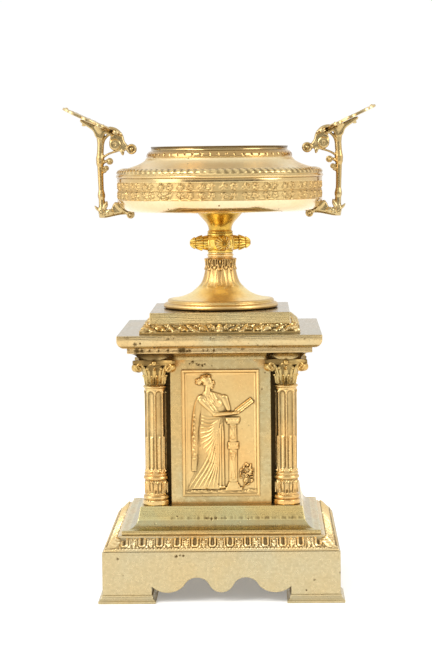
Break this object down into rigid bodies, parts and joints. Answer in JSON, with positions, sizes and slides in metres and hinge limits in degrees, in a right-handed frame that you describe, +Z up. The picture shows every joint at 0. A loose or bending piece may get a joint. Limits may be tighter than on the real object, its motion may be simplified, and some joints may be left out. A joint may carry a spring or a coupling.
{
  "type": "gilt bronze centerpiece",
  "caption": "Two-handled gilt bronze bowl on a trumpet foot, built together with a square columned plinth that bears a relief of a draped woman reading.",
  "frame": {"origin": "middle of the underside, on the plane that the four feet stand on", "axes": "+Z up, -Y the front with the relief plaque, +X to the right seen from the front, where one handle points"},
  "size_m": [0.2616, 0.198, 0.3996],
  "materials": {
    "pale_gilt": "worn, brushed pale gilding with stains and pits",
    "warm_gilt": "matte warm gilding with burnished high points",
    "bright_gilt": "burnished gilding with matte ornament"
  },
  "bodies": {
    "root": {"base_box": "pale_gilt", "egg_and_dart_moulding": "warm_gilt", "plinth_step": "pale_gilt", "dado": "pale_gilt", "relief_plaque": "warm_gilt", "column_front_left": "warm_gilt", "column_back_left": "warm_gilt", "column_front_right": "warm_gilt", "column_back_right": "warm_gilt", "cornice": "pale_gilt", "leaf_moulding": "warm_gilt", "upper_step": "pale_gilt", "tazza_foot": "warm_gilt", "knop": "warm_gilt", "bowl_socket": "warm_gilt", "bowl": "bright_gilt", "bowl_shoulder": "bright_gilt", "handle_right": "warm_gilt", "handle_left": "warm_gilt", "thumb_plate_right": "warm_gilt", "thumb_plate_left": "warm_gilt"}
  },
  "joints": []
}
